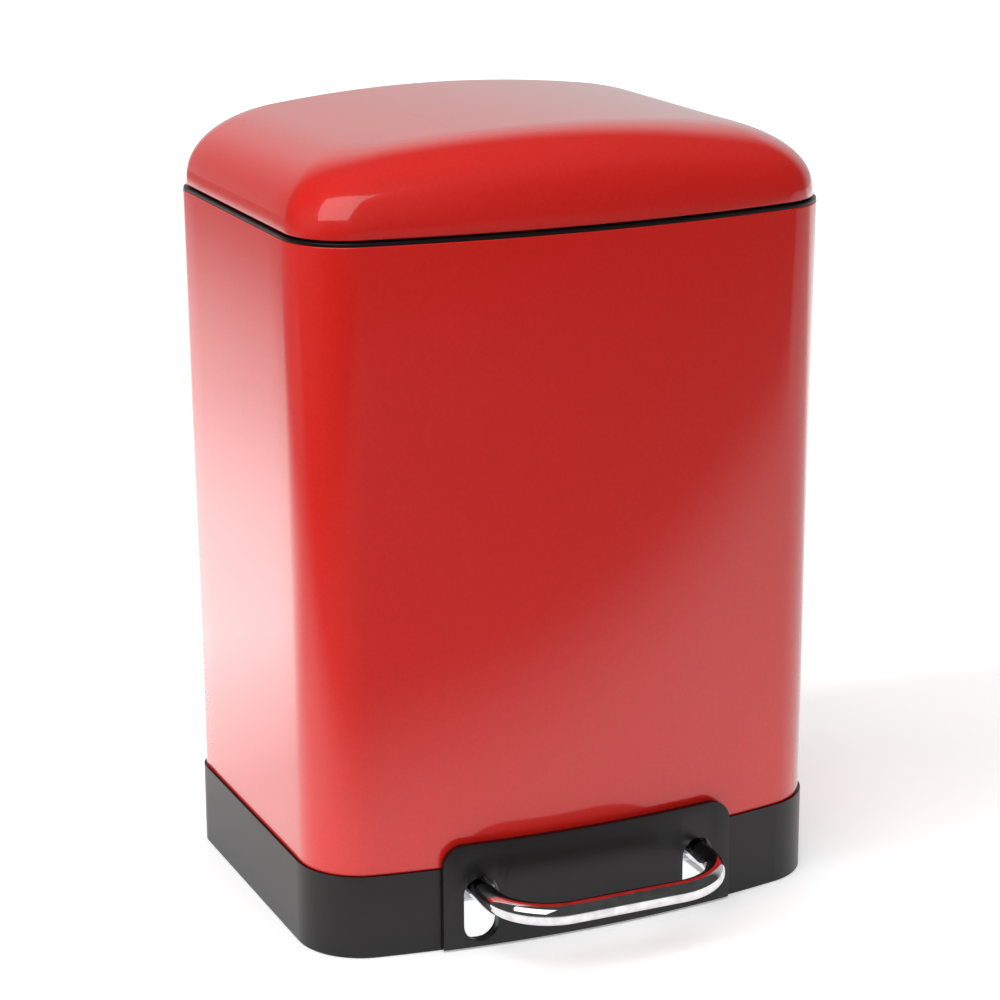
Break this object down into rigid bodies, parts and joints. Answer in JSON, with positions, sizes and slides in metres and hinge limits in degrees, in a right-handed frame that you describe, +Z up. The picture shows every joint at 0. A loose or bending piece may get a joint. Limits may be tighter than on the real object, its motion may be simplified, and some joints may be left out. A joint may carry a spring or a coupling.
{
  "type": "pedal trash can",
  "caption": "Small rectangular step bin: painted steel sleeve on a plastic base, domed lid opened by a front pedal rod, push rod and rear hinge, with a lift-out bucket.",
  "frame": {"origin": "on the floor under the middle of the sleeve's width and depth", "axes": "+X right, +Y towards the back wall and lid hinge, +Z up; the pedal is at -Y"},
  "size_m": [0.2036, 0.1978, 0.29],
  "materials": {
    "red_paint": "high-gloss paint",
    "black_moulding": "satin moulded",
    "bushing": "natural nylon",
    "chrome_rod": "mirror plated",
    "steel": "zinc plated",
    "screws": "zinc plated",
    "soft_rubber": "matte",
    "bucket_plastic": "fine moulded grain",
    "grip_plastic": "moulded"
  },
  "bodies": {
    "can": {"body_sleeve": "red_paint", "rim_band": "black_moulding", "base": "black_moulding", "base_pads": "soft_rubber", "base_screws": "screws", "pedal_fascia": "black_moulding", "fascia_screws": "screws", "axle_bushes": "bushing", "pedal_axle": "steel", "axle_clips": "steel", "rod_guide": "black_moulding", "hinge_housing": "black_moulding", "hinge_pin": "steel", "hinge_pin_clips": "steel", "hinge_screws": "screws", "bucket": "bucket_plastic"},
    "pedal": {"pedal_lever": "steel", "pedal_bar": "chrome_rod"},
    "rod": {"push_rod": "steel", "push_rod_clips": "steel"},
    "lid": {"lid_shell": "red_paint", "lid_liner": "black_moulding", "lid_buffers": "soft_rubber", "lid_arm": "steel", "arm_screws": "screws"},
    "bail": {"bucket_bail": "steel", "bail_grip": "grip_plastic"}
  },
  "joints": [
    {"name": "lid_hinge", "type": "hinge", "parent": "can", "child": "lid", "pos_m": [0, 0.081, 0.258], "axis": [-1, 0, 0], "range_deg": [0, 72.6]},
    {"name": "pedal_hinge", "type": "hinge", "parent": "can", "child": "pedal", "pos_m": [0, -0.04, 0.01], "axis": [1, 0, 0], "range_deg": [0, 14.5]},
    {"name": "rod_slide", "type": "slide", "parent": "can", "child": "rod", "axis": [0, 0, 1], "range_m": [0, 0.02645]},
    {"name": "bail_hinge", "type": "hinge", "parent": "can", "child": "bail", "pos_m": [0, -0.006, 0.254], "axis": [1, 0, 0], "range_deg": [0, 18]}
  ],
  "couplings": [
    {"joint": "pedal_hinge", "follows": "lid_hinge", "ratio": 0.1997},
    {"joint": "rod_slide", "follows": "lid_hinge", "m_per_rad": 0.02084}
  ]
}
